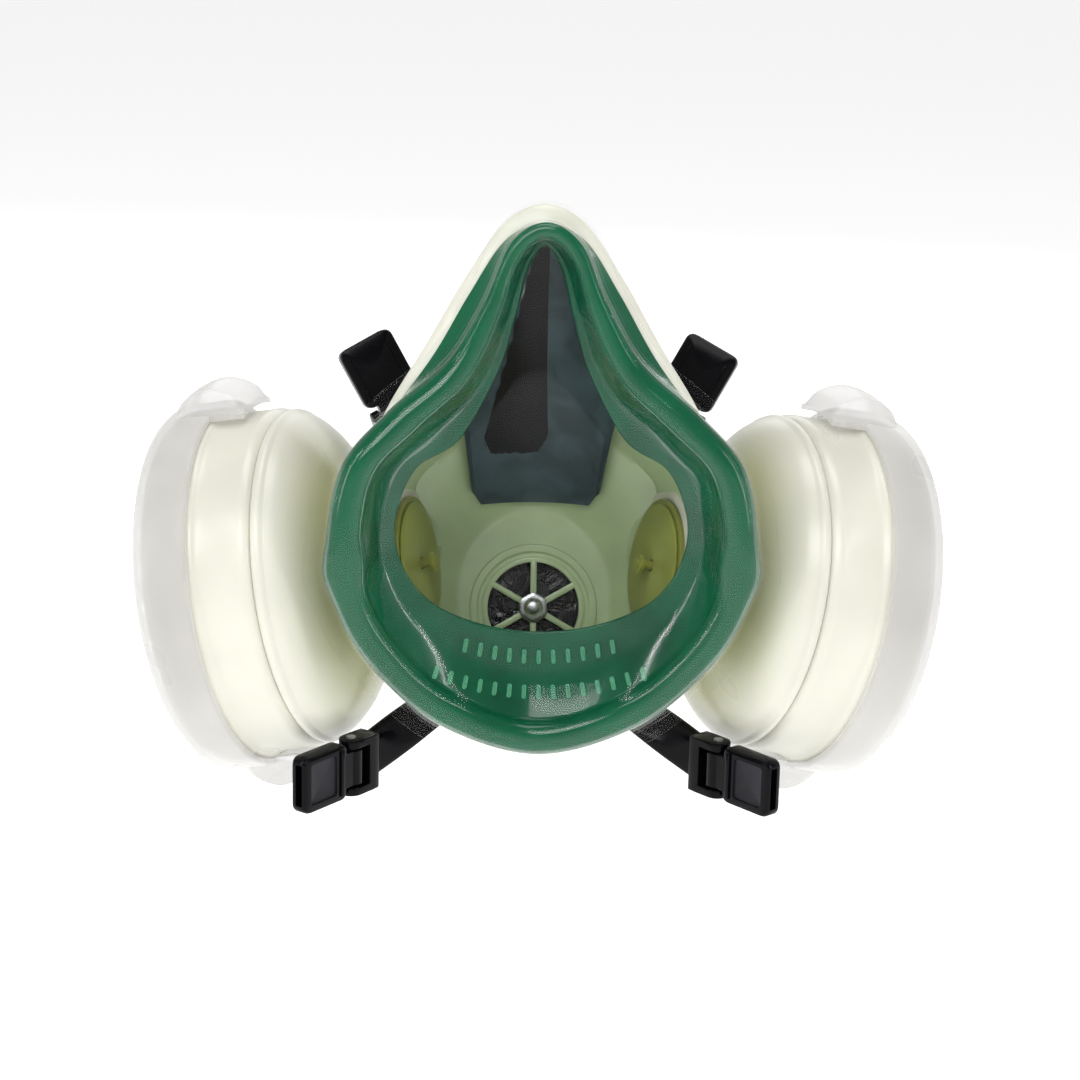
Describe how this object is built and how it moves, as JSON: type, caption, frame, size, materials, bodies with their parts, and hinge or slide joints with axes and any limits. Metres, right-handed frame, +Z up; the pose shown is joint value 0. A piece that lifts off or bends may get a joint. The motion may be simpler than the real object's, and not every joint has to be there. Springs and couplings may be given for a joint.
{
  "type": "half-mask respirator",
  "caption": "Half-mask respirator with a soft rolled face seal, round filter canisters at the sides, a front outlet valve, strap buckles and a clear storage cover.",
  "frame": {"origin": "centre of the plane that the face seal's lip rests in, midway across the face", "axes": "+X to the wearer's right, +Y forward away from the face, +Z up towards the bridge of the nose"},
  "size_m": [0.198, 0.0972, 0.1539],
  "materials": {
    "seal": "soft gloss, moulded",
    "body": "satin, slightly translucent",
    "liner": "gloss",
    "clear_sheet": "clear vacuum-formed sheet",
    "valve_rubber": "gloss",
    "inlet_rubber": "translucent",
    "shell": "satin",
    "port": "satin",
    "black_plastic": "gloss",
    "screen": "matt, perforated",
    "sorbent": "packed granules",
    "pad": "felted",
    "frosted": "frosted, translucent",
    "pin": "plain"
  },
  "bodies": {
    "mask": {"face_seal": "seal", "mask_body": "body", "nose_liner": "liner", "exhale_seat": "body", "harness_yoke": "black_plastic", "right_port": "port", "right_port_gasket": "valve_rubber", "right_upper_pin": "pin", "right_lower_pin": "pin", "left_port": "port", "left_port_gasket": "valve_rubber", "left_upper_pin": "pin", "left_lower_pin": "pin"},
    "storage_cover": {"storage_cover": "clear_sheet"},
    "exhale_flap": {"exhale_flap": "valve_rubber"},
    "outlet_cover": {"outlet_cover": "shell"},
    "right_filter": {"right_filter_base": "shell", "right_inner_screen": "screen", "right_sorbent_bed": "sorbent", "right_outer_screen": "screen", "right_particle_pad": "pad", "right_filter_shell": "shell"},
    "right_retainer_cap": {"right_retainer_cap": "frosted"},
    "right_inhale_flap": {"right_inhale_flap": "inlet_rubber"},
    "right_upper_buckle": {"right_upper_buckle": "black_plastic"},
    "right_lower_buckle": {"right_lower_buckle": "black_plastic"},
    "left_filter": {"left_filter_base": "shell", "left_inner_screen": "screen", "left_sorbent_bed": "sorbent", "left_outer_screen": "screen", "left_particle_pad": "pad", "left_filter_shell": "shell"},
    "left_retainer_cap": {"left_retainer_cap": "frosted"},
    "left_inhale_flap": {"left_inhale_flap": "inlet_rubber"},
    "left_upper_buckle": {"left_upper_buckle": "black_plastic"},
    "left_lower_buckle": {"left_lower_buckle": "black_plastic"}
  },
  "joints": [
    {"name": "storage_cover_lift", "type": "slide", "parent": "mask", "child": "storage_cover", "axis": [0, -1, 0], "range_m": [0, 0.1]},
    {"name": "exhale_flap_lift", "type": "slide", "parent": "mask", "child": "exhale_flap", "axis": [0, 0.9659, -0.2588], "range_m": [0, 0.0015], "stiffness_N_per_m": 20, "springref_m": -0.0005},
    {"name": "outlet_cover_pull", "type": "slide", "parent": "mask", "child": "outlet_cover", "axis": [0, 0.9659, -0.2588], "range_m": [0, 0.02]},
    {"name": "right_filter_twist", "type": "hinge", "parent": "mask", "child": "right_filter", "pos_m": [0.057, 0.044, -0.0205], "axis": [0.9482, 0.2541, -0.1908], "range_deg": [-40, 0]},
    {"name": "right_cap_pull", "type": "slide", "parent": "right_filter", "child": "right_retainer_cap", "axis": [0.9482, 0.2541, -0.1908], "range_m": [0, 0.015]},
    {"name": "right_inhale_flap_lift", "type": "slide", "parent": "mask", "child": "right_inhale_flap", "axis": [-0.9482, -0.2541, 0.1908], "range_m": [0, 0.0015], "stiffness_N_per_m": 20, "springref_m": -0.0005},
    {"name": "right_upper_buckle_swing", "type": "hinge", "parent": "mask", "child": "right_upper_buckle", "pos_m": [0.0347, 0.048, 0.0217], "axis": [0.8446, -0.3074, -0.4384], "range_deg": [-30, 40]},
    {"name": "right_lower_buckle_swing", "type": "hinge", "parent": "mask", "child": "right_lower_buckle", "pos_m": [0.046, 0.0225, -0.0636], "axis": [0, 0, -1], "range_deg": [-20, 40]},
    {"name": "left_filter_twist", "type": "hinge", "parent": "mask", "child": "left_filter", "pos_m": [-0.057, 0.044, -0.0205], "axis": [-0.9482, 0.2541, -0.1908], "range_deg": [0, 40]},
    {"name": "left_cap_pull", "type": "slide", "parent": "left_filter", "child": "left_retainer_cap", "axis": [-0.9482, 0.2541, -0.1908], "range_m": [0, 0.015]},
    {"name": "left_inhale_flap_lift", "type": "slide", "parent": "mask", "child": "left_inhale_flap", "axis": [0.9482, -0.2541, 0.1908], "range_m": [0, 0.0015], "stiffness_N_per_m": 20, "springref_m": -0.0005},
    {"name": "left_upper_buckle_swing", "type": "hinge", "parent": "mask", "child": "left_upper_buckle", "pos_m": [-0.0347, 0.048, 0.0217], "axis": [0.8446, 0.3074, 0.4384], "range_deg": [-30, 40]},
    {"name": "left_lower_buckle_swing", "type": "hinge", "parent": "mask", "child": "left_lower_buckle", "pos_m": [-0.046, 0.0225, -0.0636], "axis": [0, 0, 1], "range_deg": [-20, 40]}
  ]
}
